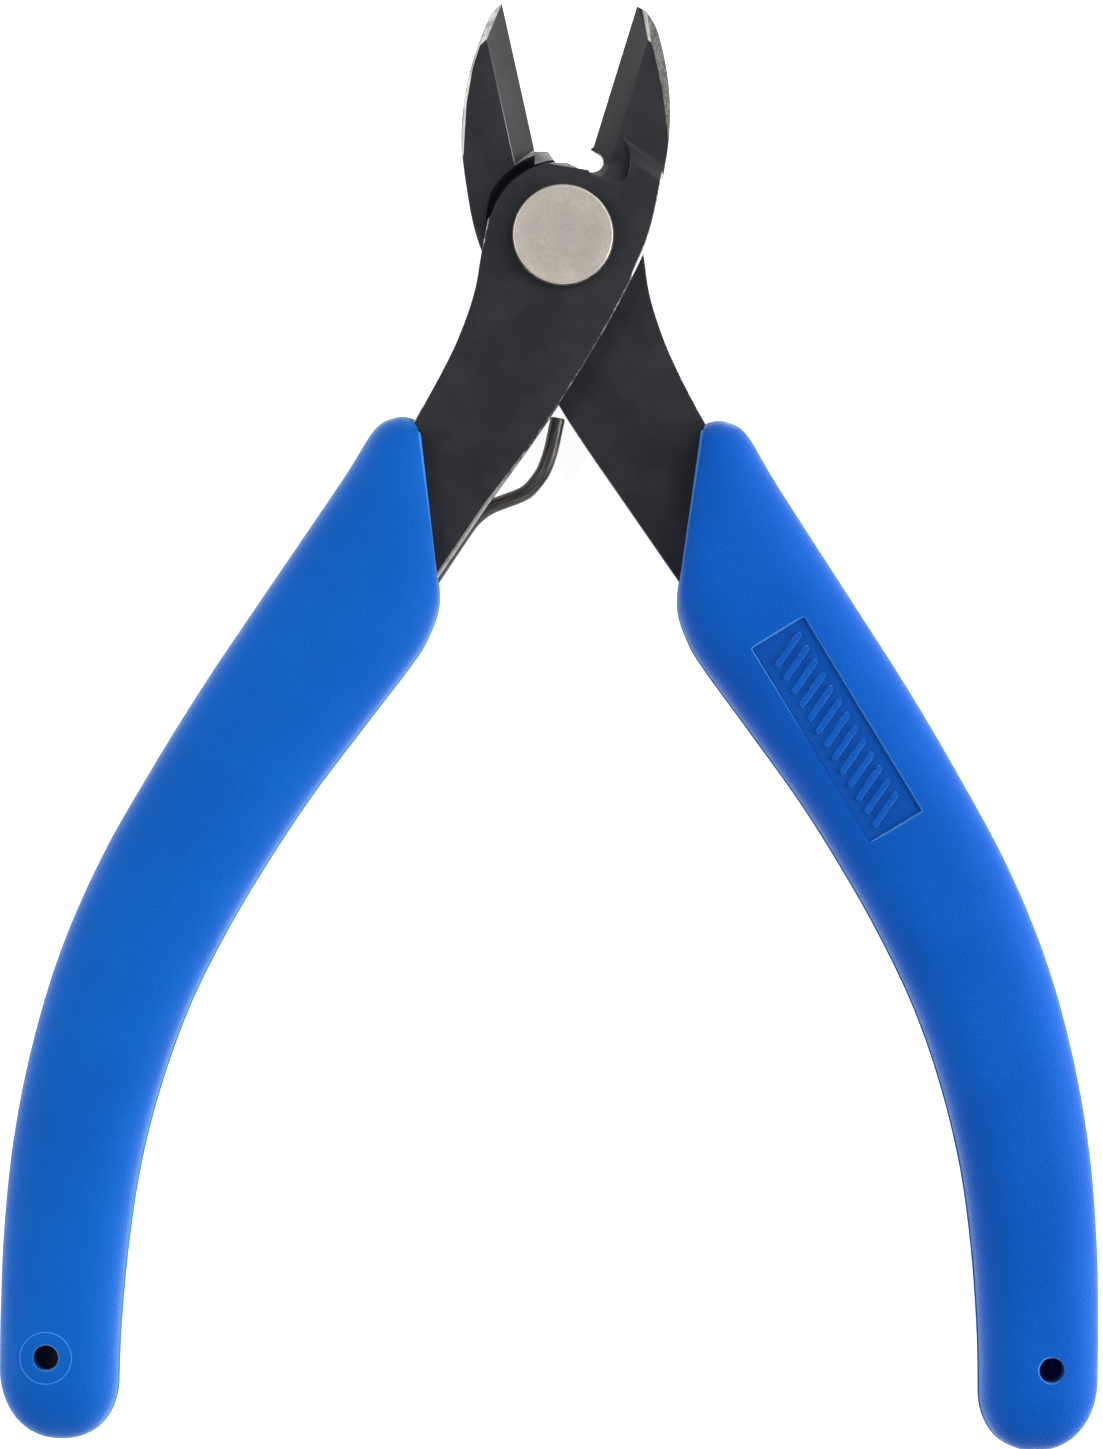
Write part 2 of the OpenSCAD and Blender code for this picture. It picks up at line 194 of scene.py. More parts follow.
class Shader:
    """A node material under construction."""

    def __init__(self, name):
        self.mat = bpy.data.materials.new(name)
        self.mat.use_nodes = True
        self.tree = self.mat.node_tree
        self.bsdf = self.tree.nodes["Principled BSDF"]
        self.coords = self.tree.nodes.new("ShaderNodeTexCoord").outputs["Object"]

    def set(self, **values):
        """Constant values on the shader's own sockets."""
        for key, value in values.items():
            self.bsdf.inputs[key.replace("_", " ")].default_value = value

    def node(self, kind, **inputs):
        """New node whose inputs are sockets to link or values to set."""
        n = self.tree.nodes.new(kind)
        for key, value in inputs.items():
            socket = n.inputs[key.replace("_", " ")]
            if isinstance(value, bpy.types.NodeSocket):
                self.tree.links.new(value, socket)
            else:
                socket.default_value = value
        return n

    def link(self, out, name):
        """Feeds a socket into the shader's input of that name."""
        self.tree.links.new(out, self.bsdf.inputs[name])

    def noise(self, scale, detail, rough, vector=None):
        """Noise whose features repeat about scale times a metre."""
        n = self.node("ShaderNodeTexNoise", Scale=scale, Detail=detail, Roughness=rough)
        self.tree.links.new(vector or self.coords, n.inputs["Vector"])
        return n.outputs["Fac"]

    def stretched(self, scale, angle=0.0):
        """Object coordinates turned about Z and scaled along each axis."""
        n = self.node("ShaderNodeMapping", Scale=scale, Rotation=(0, 0, angle))
        self.tree.links.new(self.coords, n.inputs["Vector"])
        return n.outputs["Vector"]

    def ramp(self, fac, low, high, value_low=0.0, value_high=1.0):
        """Smooth step of fac from low to high, between two values."""
        n = self.tree.nodes.new("ShaderNodeMapRange")
        n.interpolation_type = "SMOOTHSTEP"
        for key, v in (("From Min", low), ("From Max", high), ("To Min", value_low), ("To Max", value_high)):
            n.inputs[key].default_value = v
        self.tree.links.new(fac, n.inputs["Value"])
        return n.outputs["Result"]

    def math(self, operation, a, b):
        """Result of a math node on two sockets or numbers."""
        n = self.tree.nodes.new("ShaderNodeMath")
        n.operation = operation
        for socket, value in zip(n.inputs, (a, b)):
            if isinstance(value, bpy.types.NodeSocket):
                self.tree.links.new(value, socket)
            else:
                socket.default_value = value
        return n.outputs[0]

    def mix(self, fac, a, b):
        """Colour between a and b."""
        n = self.tree.nodes.new("ShaderNodeMix")
        n.data_type = "RGBA"
        for socket, value in ((n.inputs[0], fac), (n.inputs[6], a), (n.inputs[7], b)):
            if isinstance(value, bpy.types.NodeSocket):
                self.tree.links.new(value, socket)
            else:
                socket.default_value = value if not isinstance(value, tuple) else (*value, 1)[:4]
        return n.outputs[2]

    def bump(self, height, strength, distance_mm):
        """Relief of the surface from a height socket."""
        n = self.node("ShaderNodeBump", Strength=strength, Distance=distance_mm * MM, Height=height)
        self.link(n.outputs["Normal"], "Normal")


OXIDE_DARK = (0.0178, 0.0184, 0.0235)
OXIDE_LIGHT = (0.0224, 0.0230, 0.0288)
BARE_STEEL = (0.52, 0.50, 0.48)
LAP_WORN_MM = 6.3


def matt_oxide():
    """Oxide in the pressed ramps and hollows, duller than on the flat faces."""
    s = Shader("matt_oxide")
    cloud = s.noise(300, 3, 0.6)
    grain = s.noise(4600, 2, 0.6)
    s.link(s.mix(s.ramp(cloud, 0.35, 0.68), (0.019, 0.0185, 0.0225), (0.026, 0.025, 0.030)), "Base Color")
    s.link(s.ramp(cloud, 0.3, 0.7, 0.6, 0.7), "Roughness")
    s.set(Specular_IOR_Level=0.25)
    s.bump(grain, 0.5, 0.012)
    return s.mat


def black_oxide(name="black_oxide", rubbed=False):
    """Satin black oxide on stamped steel: cloudy tone, fine grain and a few faint rubs. The rubbed
    kind is worn bright close about the pivot, where the other arm's boss slides."""
    s = Shader(name)
    cloud = s.noise(260, 3, 0.6)
    grain = s.noise(5200, 2, 0.6)
    rub = s.noise(1.0, 4, 0.6, s.stretched((420, 3600, 900), 0.5))
    tone = s.mix(s.ramp(cloud, 0.35, 0.68), OXIDE_DARK, OXIDE_LIGHT)
    tone = s.mix(s.ramp(rub, 0.66, 0.8, 0, 0.16), tone, (0.10, 0.10, 0.105))
    if rubbed:
        distance = s.tree.nodes.new("ShaderNodeVectorMath")
        distance.operation = "LENGTH"
        s.tree.links.new(s.coords, distance.inputs[0])
        near = s.ramp(distance.outputs["Value"], (LAP_WORN_MM - 0.1) * MM, LAP_WORN_MM * MM, 1.0, 0.0)
        axes = s.node("ShaderNodeSeparateXYZ", Vector=s.coords)
        near = s.math("MULTIPLY", near, s.ramp(axes.outputs["X"], -1.5 * MM, -1.0 * MM))
        streak = s.noise(1.0, 3, 0.6, s.stretched((5200, 900, 900), 0.4))
        tone = s.mix(near, tone, s.mix(s.ramp(streak, 0.3, 0.7), (0.34, 0.342, 0.35), (0.62, 0.62, 0.625)))
    s.link(tone, "Base Color")
    s.link(s.ramp(cloud, 0.3, 0.7, 0.42, 0.5), "Roughness")
    s.set(Metallic=0.35, Specular_IOR_Level=0.4)
    s.bump(grain, 0.35, 0.01)
    return s.mat


def sheared_oxide():
    """Sheared sides of the stampings: dull dark oxide, streaked through the plate's thickness."""
    s = Shader("sheared_oxide")
    streak = s.noise(1.0, 3, 0.65, s.stretched((3200, 3200, 260)))
    burnish = s.noise(700, 3, 0.6)
    tone = s.mix(s.ramp(streak, 0.35, 0.7), (0.008, 0.0082, 0.010), (0.018, 0.0185, 0.021))
    tone = s.mix(s.ramp(burnish, 0.6, 0.75, 0, 0.3), tone, (0.05, 0.05, 0.052))
    s.link(tone, "Base Color")
    s.link(s.ramp(streak, 0.3, 0.7, 0.5, 0.62), "Roughness")
    s.set(Metallic=0.3, Specular_IOR_Level=0.3)
    s.bump(streak, 0.6, 0.015)
    return s.mat


def ground_oxide(name, dark, light, corner=None):
    """Oxide on a ground bevel, with a fine lay along the grind. A corner is (direction, offset in mm)
    of the plan line at the bevel's top, where a thin lighter line is painted as the crease's highlight,
    stronger towards the heel."""
    s = Shader(name)
    cloud = s.noise(330, 3, 0.6)
    lay = s.noise(1.0, 3, 0.6, s.stretched((7000, 420, 2500), 0.25))
    tone = s.mix(s.ramp(cloud, 0.3, 0.7), dark, light)
    if corner:
        way, offset = corner
        across = s.tree.nodes.new("ShaderNodeVectorMath")
        across.operation = "DOT_PRODUCT"
        across.inputs[1].default_value = way
        s.tree.links.new(s.coords, across.inputs[0])
        # Thin lighter line along the bevel's top crease: painted highlight.
        line = s.ramp(across.outputs["Value"], (offset + 0.04) * MM, (offset + 0.07) * MM, 1.0, 0.0)
        height = s.node("ShaderNodeSeparateXYZ", Vector=s.coords).outputs["Y"]
        line = s.math("MULTIPLY", line, s.ramp(height, 8 * MM, 14 * MM, 0.75, 0.1))
        tone = s.mix(line, tone, (0.34, 0.335, 0.33))
    s.link(tone, "Base Color")
    s.link(s.ramp(lay, 0.3, 0.7, 0.4, 0.5), "Roughness")
    s.set(Metallic=0.3, Specular_IOR_Level=0.4)
    s.bump(lay, 0.25, 0.006)
    return s.mat


def worn_edge_highlight():
    """The broken edges of the stampings: the oxide rubbed through to bright steel where the wear
    attribute is high. The bright steel is part wear, part painted highlight of the edges' glints."""
    s = Shader("worn_edge_highlight")
    wear = s.tree.nodes.new("ShaderNodeAttribute")
    wear.attribute_name = "wear"
    patch = s.noise(1500, 3, 0.65)
    fine = s.noise(6000, 2, 0.6)
    level = s.math("ADD", s.math("MULTIPLY", patch, 0.75), s.math("MULTIPLY", fine, 0.25))
    level = s.math("ADD", level, wear.outputs["Fac"])
    fac = s.ramp(level, 0.72, 1.12)
    s.link(s.mix(fac, OXIDE_LIGHT, BARE_STEEL), "Base Color")
    s.link(s.ramp(fac, 0, 1, 0.45, 0.36), "Roughness")
    s.link(s.ramp(fac, 0, 1, 0.35, 0.85), "Metallic")
    s.bump(fine, 0.5, 0.01)
    return s.mat


def ground_steel(name, bright, dull):
    """Bare ground facets, bright with a fine lay."""
    s = Shader(name)
    lay = s.noise(1.0, 3, 0.6, s.stretched((9000, 500, 2500), 0.3))
    blot = s.noise(1400, 3, 0.6)
    s.link(s.mix(s.ramp(blot, 0.3, 0.72), bright, dull), "Base Color")
    s.link(s.ramp(blot, 0.3, 0.7, 0.34, 0.5), "Roughness")
    s.set(Metallic=0.7)
    s.bump(lay, 0.4, 0.01)
    return s.mat


def rough_steel():
    """The sheared flank of the front jaw: torn, matte grey steel with dark pits."""
    s = Shader("rough_steel")
    pits = s.noise(4200, 3, 0.7)
    band = s.noise(900, 2, 0.6)
    tone = s.mix(s.ramp(pits, 0.36, 0.7), (0.024, 0.021, 0.018), (0.135, 0.124, 0.112))
    tone = s.mix(s.ramp(band, 0.5, 0.8, 0, 0.4), tone, (0.30, 0.288, 0.272))
    s.link(tone, "Base Color")
    s.link(s.ramp(pits, 0.3, 0.7, 0.7, 0.45), "Roughness")
    s.set(Metallic=0.55)
    s.bump(pits, 0.9, 0.03)
    return s.mat


def lap_steel():
    """The lap faces, where the arms have rubbed the oxide thin."""
    s = Shader("lap_steel")
    arcs = s.tree.nodes.new("ShaderNodeTexWave")
    arcs.wave_type = "RINGS"
    arcs.rings_direction = "Z"
    for key, value in (("Scale", 900), ("Distortion", 6), ("Detail", 3), ("Detail Scale", 1.5)):
        arcs.inputs[key].default_value = value
    s.tree.links.new(s.coords, arcs.inputs["Vector"])
    worn = s.noise(700, 3, 0.6)
    tone = s.mix(s.ramp(worn, 0.35, 0.7), (0.30, 0.302, 0.31), (0.46, 0.46, 0.46))
    s.link(tone, "Base Color")
    s.link(s.ramp(worn, 0.3, 0.7, 0.36, 0.46), "Roughness")
    s.set(Metallic=0.35)
    s.bump(arcs.outputs["Fac"], 0.15, 0.005)
    return s.mat


def nickel():
    """Turned face of the pivot head: satin nickel with concentric tool marks."""
    s = Shader("turned_nickel")
    rings = s.tree.nodes.new("ShaderNodeTexWave")
    rings.wave_type = "RINGS"
    rings.rings_direction = "Z"
    for key, value in (("Scale", 1900), ("Distortion", 3.5), ("Detail", 4), ("Detail Scale", 2.4)):
        rings.inputs[key].default_value = value
    s.tree.links.new(s.coords, rings.inputs["Vector"])
    blot = s.noise(520, 3, 0.6)
    grit = s.noise(4200, 4, 0.75)
    radius = s.tree.nodes.new("ShaderNodeVectorMath")
    radius.operation = "LENGTH"
    s.tree.links.new(s.stretched((1, 1, 0)), radius.inputs[0])
    outer = s.ramp(radius.outputs["Value"], 1.8 * MM, 3.8 * MM)
    turned = s.math("MULTIPLY", rings.outputs["Fac"], outer)
    tone = s.mix(s.ramp(blot, 0.3, 0.72), (0.49, 0.445, 0.40), (0.58, 0.53, 0.475))
    tone = s.mix(s.ramp(grit, 0.4, 0.66, 0, 0.75), tone, (0.38, 0.343, 0.30))
    tone = s.mix(s.ramp(turned, 0.45, 1.0, 0, 0.3), tone, (0.80, 0.76, 0.69))
    s.link(tone, "Base Color")
    s.link(s.ramp(grit, 0.3, 0.7, 0.44, 0.54), "Roughness")
    s.set(Metallic=0.6)
    height = s.math("ADD", s.math("MULTIPLY", turned, 0.6), grit)
    s.bump(height, 0.6, 0.012)
    return s.mat


def nickel_side_painted_shade():
    """The pivot head's side, dull and darker than the face as painted shade, mottled."""
    s = Shader("nickel_side_painted_shade")
    side_mottle = s.noise(1600, 3, 0.6)
    s.link(s.mix(s.ramp(side_mottle, 0.3, 0.7), (0.07, 0.062, 0.055), (0.20, 0.18, 0.16)), "Base Color")
    s.link(s.ramp(side_mottle, 0.3, 0.7, 0.4, 0.6), "Roughness")
    s.set(Metallic=0.5)
    s.bump(side_mottle, 0.3, 0.01)
    return s.mat


def drawn_wire():
    """Dark drawn spring wire with fine lines along it."""
    s = Shader("drawn_wire")
    uv = s.tree.nodes.new("ShaderNodeTexCoord").outputs["UV"]
    m = s.node("ShaderNodeMapping", Scale=(26, 500, 1))
    s.tree.links.new(uv, m.inputs["Vector"])
    lines = s.noise(1.0, 3, 0.6, m.outputs["Vector"])
    blot = s.noise(900, 3, 0.6)
    tone = s.mix(s.ramp(lines, 0.4, 0.75), (0.048, 0.044, 0.040), (0.135, 0.125, 0.112))
    s.link(tone, "Base Color")
    s.link(s.ramp(blot, 0.3, 0.7, 0.34, 0.46), "Roughness")
    s.set(Metallic=0.55)
    s.bump(lines, 0.3, 0.01)
    return s.mat


def blue_rubber(name, dark, light):
    """Moulded blue grip: matte with a fine spark-eroded grain."""
    s = Shader(name)
    cloud = s.noise(95, 3, 0.55)
    grain = s.noise(5000, 4, 0.7)
    speck = s.noise(2600, 2, 0.6)
    tone = s.mix(s.ramp(cloud, 0.35, 0.65), dark, light)
    tone = s.mix(s.ramp(grain, 0.35, 0.7, 0, 0.14), tone, tuple(0.62 * c for c in dark))
    tone = s.mix(s.ramp(speck, 0.6, 0.8, 0, 0.16), tone, (0.008, 0.165, 0.62))
    s.link(tone, "Base Color")
    s.link(s.ramp(grain, 0.3, 0.7, 0.5, 0.62), "Roughness")
    s.set(Specular_IOR_Level=0.16, Specular_Tint=(0.45, 0.78, 1, 1))
    s.set(Sheen_Weight=0.9, Sheen_Roughness=0.24, Sheen_Tint=(0.5, 0.78, 0.9, 1))
    s.bump(grain, 1.0, 0.07)
    return s.mat


MAT = {
    "oxide": black_oxide(),
    "matt": matt_oxide(),
    "sheared": sheared_oxide(),
    # Bright steel on the broken edges: part wear, part painted highlight.
    "worn": worn_edge_highlight(),
    "ground": ground_steel("ground_steel_front", (0.60, 0.575, 0.56), (0.40, 0.385, 0.375)),
    "ground_rear": ground_steel("ground_steel_rear", (0.46, 0.45, 0.44), (0.24, 0.235, 0.23)),
    "rough": rough_steel(),
    "lap": lap_steel(),
    # Front jaw's bevel: darker tones than the same ground oxide on the rear jaw, painted shade.
    "bevel": ground_oxide("ground_oxide_front_painted_shade", (0.0108, 0.0109, 0.013), (0.0155, 0.0155, 0.018)),
    # Rear jaw's bevel: lighter tones, painted light.
    "bevel_rear": ground_oxide(
        "ground_oxide_rear_painted_light", (0.030, 0.030, 0.034), (0.043, 0.042, 0.047), ((0.9737, 0.228, 0), -2.649)
    ),
    "rubbed": black_oxide("black_oxide_rubbed", True),
    "nickel": nickel(),
    # Darker nickel on the pivot head's side: painted shade.
    "nickel_side_painted_shade": nickel_side_painted_shade(),
    "wire": drawn_wire(),
    "blue": blue_rubber("blue_grip", (0.0006, 0.09, 0.438), (0.0008, 0.102, 0.476)),
    # The right grip's blue is a darker copy of the left grip's: painted shade.
    "blue_right_painted_shade": blue_rubber("blue_grip_right_painted_shade", (0.0005, 0.075, 0.415), (0.0006, 0.085, 0.45)),
    # Darker blue for the emblem's recess and the right grip's inner ridge: painted shade.
    "blue_painted_shade": blue_rubber("blue_recess_painted_shade", (0.0006, 0.058, 0.33), (0.0007, 0.066, 0.36)),
    # Lighter blue on the mouths' edges, the hole's rim, the witness ring, the recess's chamfer and the left
    # inner ridge: painted highlight.
    "blue_lip_highlight": blue_rubber("blue_lip_highlight", (0.040, 0.22, 0.66), (0.060, 0.26, 0.72)),
}
STEEL = [
    "oxide",
    "matt",
    "sheared",
    "worn",
    "ground",
    "ground_rear",
    "rough",
    "lap",
    "bevel",
    "bevel_rear",
    "rubbed",
]


# ---------------------------------------------------------------- steel arms


def near_segment(p, a, b):
    """Distance in plan from p to the segment a to b."""
    ab = Vector(b) - Vector(a)
    t = max(0.0, min(1.0, (Vector(p) - Vector(a)).dot(ab) / ab.dot(ab)))
    return (Vector(p) - Vector(a) - ab * t).length


BEVEL_MM = 0.5  # an edge's own bevel is a share of this
PLAIN_EDGE_MM = 0.066  # bevel of an edge in no zone
EDGE_ANGLE = math.radians(23)  # a flatter edge isn't broken
FLAT_ANGLE = math.radians(0.6)  # faces this close to one plane become one
THIN_FACE_MM = 0.16  # a narrower face has no room for a bevel
SHORT_EDGE_MM = 0.03
SAME_POINT_MM = 0.002
TANG_START_Y = -31.0
WALL = 0.25
SHEARED_WALL = 0.05


def is_wall(face):
    """Whether a face stands nearly upright."""
    return abs(face.normal.z) < WALL


def steel_piece(name, node, body, face_kind, zones, zone_z=0.0):
    """A stamping: the CAD solid with its flat faces made whole, its edges broken by a small bevel and
    each ground or rubbed face in its own finish. A zone is (a, b, reach, bevel width in mm, brightness of
    the bevel, part wear and part painted highlight), and its width holds above zone_z. The tang in the grip
    keeps its plain edges."""
    mesh = bpy.data.meshes.new(name)
    bm = bmesh.new()
    bm.from_mesh(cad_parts[node].data)
    bmesh.ops.remove_doubles(bm, verts=bm.verts, dist=SAME_POINT_MM * MM)
    bmesh.ops.dissolve_limit(bm, angle_limit=FLAT_ANGLE, verts=bm.verts, edges=bm.edges)
    bm.normal_update()
    for f in bm.faces:
        centre = f.calc_center_median() / MM
        kind = "sheared" if abs(f.normal.z) < SHEARED_WALL else face_kind(centre, f.normal)
        f.material_index = STEEL.index(kind)
        f.smooth = True
    weight = bm.edges.layers.float.new("bevel_weight_edge")
    wear = bm.verts.layers.float.new("wear")
    bm.faces.index_update()
    thin = {f.index for f in bm.faces if 4 * f.calc_area() < THIN_FACE_MM * MM * f.calc_perimeter()}
    for v in bm.verts:
        p = v.co / MM
        for a, b, reach, _, amount in zones:
            if near_segment(p.xy, a, b) < reach:
                v[wear] = max(v[wear], amount)
    for e in bm.edges:
        if len(e.link_faces) != 2 or e.calc_face_angle(0) < EDGE_ANGLE:
            continue
        e.smooth = False
        if any(f.index in thin for f in e.link_faces) or e.calc_length() < SHORT_EDGE_MM * MM:
            continue
        if is_wall(e.link_faces[0]) == is_wall(e.link_faces[1]) or not e.is_convex:
            continue
        mid = (e.verts[0].co + e.verts[1].co) / 2 / MM
        if mid.y < TANG_START_Y:
            continue
        edge_mm = PLAIN_EDGE_MM
        for a, b, reach, width, _ in zones:
            if mid.z > zone_z and near_segment(mid.xy, a, b) < reach:
                edge_mm = width
        e[weight] = edge_mm / BEVEL_MM
        e.smooth = True
    bm.to_mesh(mesh)
    bm.free()
    obj = new_object(name, mesh, [MAT[k] for k in STEEL])
    bevel = obj.modifiers.new("broken_edges", "BEVEL")
    bevel.limit_method = "WEIGHT"
    bevel.offset_type = "OFFSET"
    bevel.width = BEVEL_MM * MM
    bevel.segments = 2
    # The bevels take the bright edge material: part wear, part painted highlight.
    bevel.material = STEEL.index("worn")
    bevel.use_clamp_overlap = False
    bevel.miter_outer = "MITER_ARC"
    triangles = obj.modifiers.new("triangles", "TRIANGULATE")
    triangles.min_vertices = 5
    triangles.ngon_method = "BEAUTY"
    normals = obj.modifiers.new("flat_faces", "WEIGHTED_NORMAL")
    normals.keep_sharp = True
    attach(obj, body)
    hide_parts(node)


def front_kind(c, n):
    """Finish of a face of the front arm, from its centre in mm and its normal."""
    if c.y > 16 and c.x > 6.2 and 0.7 < n.z < 0.97:
        return "ground"
    if c.y > 6 and c.x > 6.5 and 0.3 < n.z < 0.6 and n.x > 0.3:
        return "rough"
    if abs(c.z - 0.02) < 0.02 and n.z < -0.99:
        return "rubbed"
    if c.y > 7 and n.x < -0.5 and 0.4 < n.z < 0.9:
        return "bevel"
    if 1.05 < c.z < 2.1 and c.y > 4 and 0.3 < n.z < 0.99:
        return "matt"
    return "oxide"


def rear_kind(c, n):
    """Finish of a face of the rear arm, from its centre in mm and its normal."""
    if c.y > 15.5 and c.x < -5 and 0.4 < n.z < 0.8:
        return "ground_rear"
    if c.y > 5 and c.x < -6 and 0.3 < n.z < 0.6 and n.x < -0.3:
        return "ground"
    if c.y > 5.8 and -2.4 < c.x < 0.6 and n.z > 0.95 and 0.0 < c.z < 0.9:
        return "lap"
    if c.y > 5.8 and -4.5 < c.x < -2.3 and n.y > 0.6 and 0.1 < n.z < 0.5:
        return "lap"
    if abs(c.z + 0.02) < 0.02 and n.z > 0.99:
        return "rubbed"
    if c.y > 7 and n.x > 0.5 and 0.4 < n.z < 0.9:
        return "bevel_rear"
    if -2.1 < c.z < -1.05 and c.y > 4 and -0.99 < n.z < -0.3:
        return "matt"
    return "oxide"


# Zones along the arms' edges, in plan: from, to, reach, bevel width and wear, the bevel's brightness that is
# part wear, part painted highlight
FRONT_ZONES = [
    ((-6.2, 1.4), (-12.2, -15.7), 0.4, 0.1, 0.35),  # handle's left edge
    ((8.2, 4.9), (6.0, -2.9), 0.5, 0.24, 0.6),  # right of the pivot
    ((6.0, -2.9), (0.0, -13.6), 0.4, 0.13, 0.3),  # across the rear arm
    ((0.0, -13.6), (-5.9, -22.3), 0.4, 0.12, 0.3),
    ((-5.9, -22.3), (-10.2, -28.7), 0.5, 0.3, 0.6),  # beside the spring
    ((2.1, 7.45), (2.4, 7.05), 0.25, 0.1, 0.9),  # hook at the jaw's heel
    ((2.5, 7.0), (3.05, 6.75), 0.3, 0.1, 0.7),  # notch
    ((3.05, 6.75), (3.25, 6.2), 0.3, 0.08, 0.55),
]
REAR_ZONES = [
    ((6.7, -1.6), (12, -15.3), 0.6, 0.1, 0.25),  # handle's right edge
    ((-2.4, 7.0), (-0.7, 6.2), 0.3, 0.08, 0.3),  # stub at the jaw's heel
    ((-8.45, 5.0), (-8.45, 10.3), 0.5, 0.12, 0.0),  # jaw's outer edge
    ((-8.45, 10.3), (-7.4, 15.2), 0.5, 0.07, 0.0),
    ((-7.4, 15.2), (-5.6, 19.3), 0.5, 0.12, 0.0),
]
steel_piece("front_arm_steel", "front_arm", "front_half", front_kind, FRONT_ZONES, zone_z=1.0)
steel_piece("rear_arm_steel", "rear_arm", "rear_half", rear_kind, REAR_ZONES, zone_z=-0.5)

# ---------------------------------------------------------------- pivot

HEAD_R = 4.2
HEAD_BASE = 2.1
HEAD_TOP = 3.0
HEAD_DISH = 0.03
TOOL_MARK = 0.0035
SHANK_R = 2.5
SHOULDER_Z = -2.13
THREAD_R = 1.8
THREAD_END = -2.93


def pivot_profile():
    """Outline of the bolt: turned face with faint rings, rounded rim, shank and thread."""
    face = [(0.0, HEAD_TOP - HEAD_DISH)]
    r = 0.12
    while r < HEAD_R - 0.24:
        dish = HEAD_DISH * (1 - (r / HEAD_R) ** 4)
        face.append((r, HEAD_TOP - dish + rng.uniform(-TOOL_MARK, TOOL_MARK)))
        r += rng.uniform(0.07, 0.14)
    rim = [
        (HEAD_R - 0.22, HEAD_TOP - 0.004),
        (HEAD_R - 0.14, HEAD_TOP - 0.02),
        (HEAD_R - 0.1, HEAD_TOP - 0.06),
        (HEAD_R - 0.03, HEAD_TOP - 0.24),
        (HEAD_R, HEAD_TOP - 0.4),
        (HEAD_R, HEAD_BASE + 0.08),
        (HEAD_R - 0.05, HEAD_BASE + 0.01),
    ]
    stem = [
        (SHANK_R, HEAD_BASE + 0.01),
        (SHANK_R, SHOULDER_Z),
        (THREAD_R, SHOULDER_Z),
        (THREAD_R, THREAD_END + 0.2),
        (THREAD_R - 0.2, THREAD_END),
        (0.0, THREAD_END),
    ]
    return face + rim + stem


pivot_mesh = lathe("pivot_head_turned", pivot_profile(), 144)
shade(pivot_mesh, 35)
pivot = new_object("pivot_head_turned", pivot_mesh, [MAT["nickel"], MAT["nickel_side_painted_shade"]])
# Faces standing upright take the darker side nickel: painted shade round the head.
for face in pivot_mesh.polygons:
    if abs(face.normal.z) < 0.55:
        face.material_index = 1
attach(pivot, "front_half")
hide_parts("pivot_bolt")

steel_piece("pivot_nut_slotted", "pivot_nut", "front_half", lambda c, n: "oxide", [])

# ---------------------------------------------------------------- return spring

WIRE_R = 0.61
WIRE_Z = -0.69
WIRE_SIDES = 28
WIRE_END_CHAMFER = 0.09
WIRE_PLAN = [
    (-0.25, -14.95),
    (-0.5, -16.3),
    (-0.85, -17.9),
    (-1.45, -19.5),
    (-2.45, -20.85),
    (-3.25, -21.4),
    (-4.5, -21.9),
    (-5.7, -22.4),
    (-6.6, -23.0),
    (-7.35, -23.8),
    (-8.6, -25.65),
    (-10.6, -28.75),
    (-12.6, -31.8),
    (-14.3, -34.3),
]


def wire_piece():
    """The spring: a round wire swept along its plan, its free end with a broken rim. UV runs round the
    wire and along its length in metres."""
    path = [Vector((x, y, WIRE_Z)) for x, y in smooth(WIRE_PLAN, 8)]
    rings, lengths, total = [], [], 0.0
    for i, p in enumerate(path):
        t = (path[min(i + 1, len(path) - 1)] - path[max(i - 1, 0)]).normalized()
        across = t.cross(Vector((0, 0, 1))).normalized()
        up = across.cross(t)
        if i:
            total += (p - path[i - 1]).length
        rings.append((p, across, up, WIRE_R))
        lengths.append(total)
    end, across, up, _ = rings[0]
    inward = (path[1] - path[0]).normalized()
    rings[:1] = [
        (end, across, up, WIRE_R - WIRE_END_CHAMFER),
        (end + inward * WIRE_END_CHAMFER, across, up, WIRE_R),
    ]
    lengths[:1] = [0.0, WIRE_END_CHAMFER]
    turns = unit_circle(WIRE_SIDES)
    mesh = lofted(
        "return_spring_wire",
        [[tuple(p + r * (c * across + s * up)) for c, s in turns] for p, across, up, r in rings],
    )
    uv = mesh.uv_layers.new(name="along")
    for poly in mesh.polygons:
        ks = [mesh.loops[li].vertex_index % WIRE_SIDES for li in poly.loop_indices]
        wrap = max(ks) - min(ks) > WIRE_SIDES / 2
        for li, k in zip(poly.loop_indices, ks):
            ring = mesh.loops[li].vertex_index // WIRE_SIDES
            u = (k + (WIRE_SIDES if wrap and k < WIRE_SIDES / 2 else 0)) / WIRE_SIDES
            uv.data[li].uv = (u, lengths[ring] * MM)
    shade(mesh, 50)
    return new_object("return_spring_wire", mesh, [MAT["wire"]])


spring = wire_piece()
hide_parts("return_spring")
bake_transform(spring)

# ---------------------------------------------------------------- grips

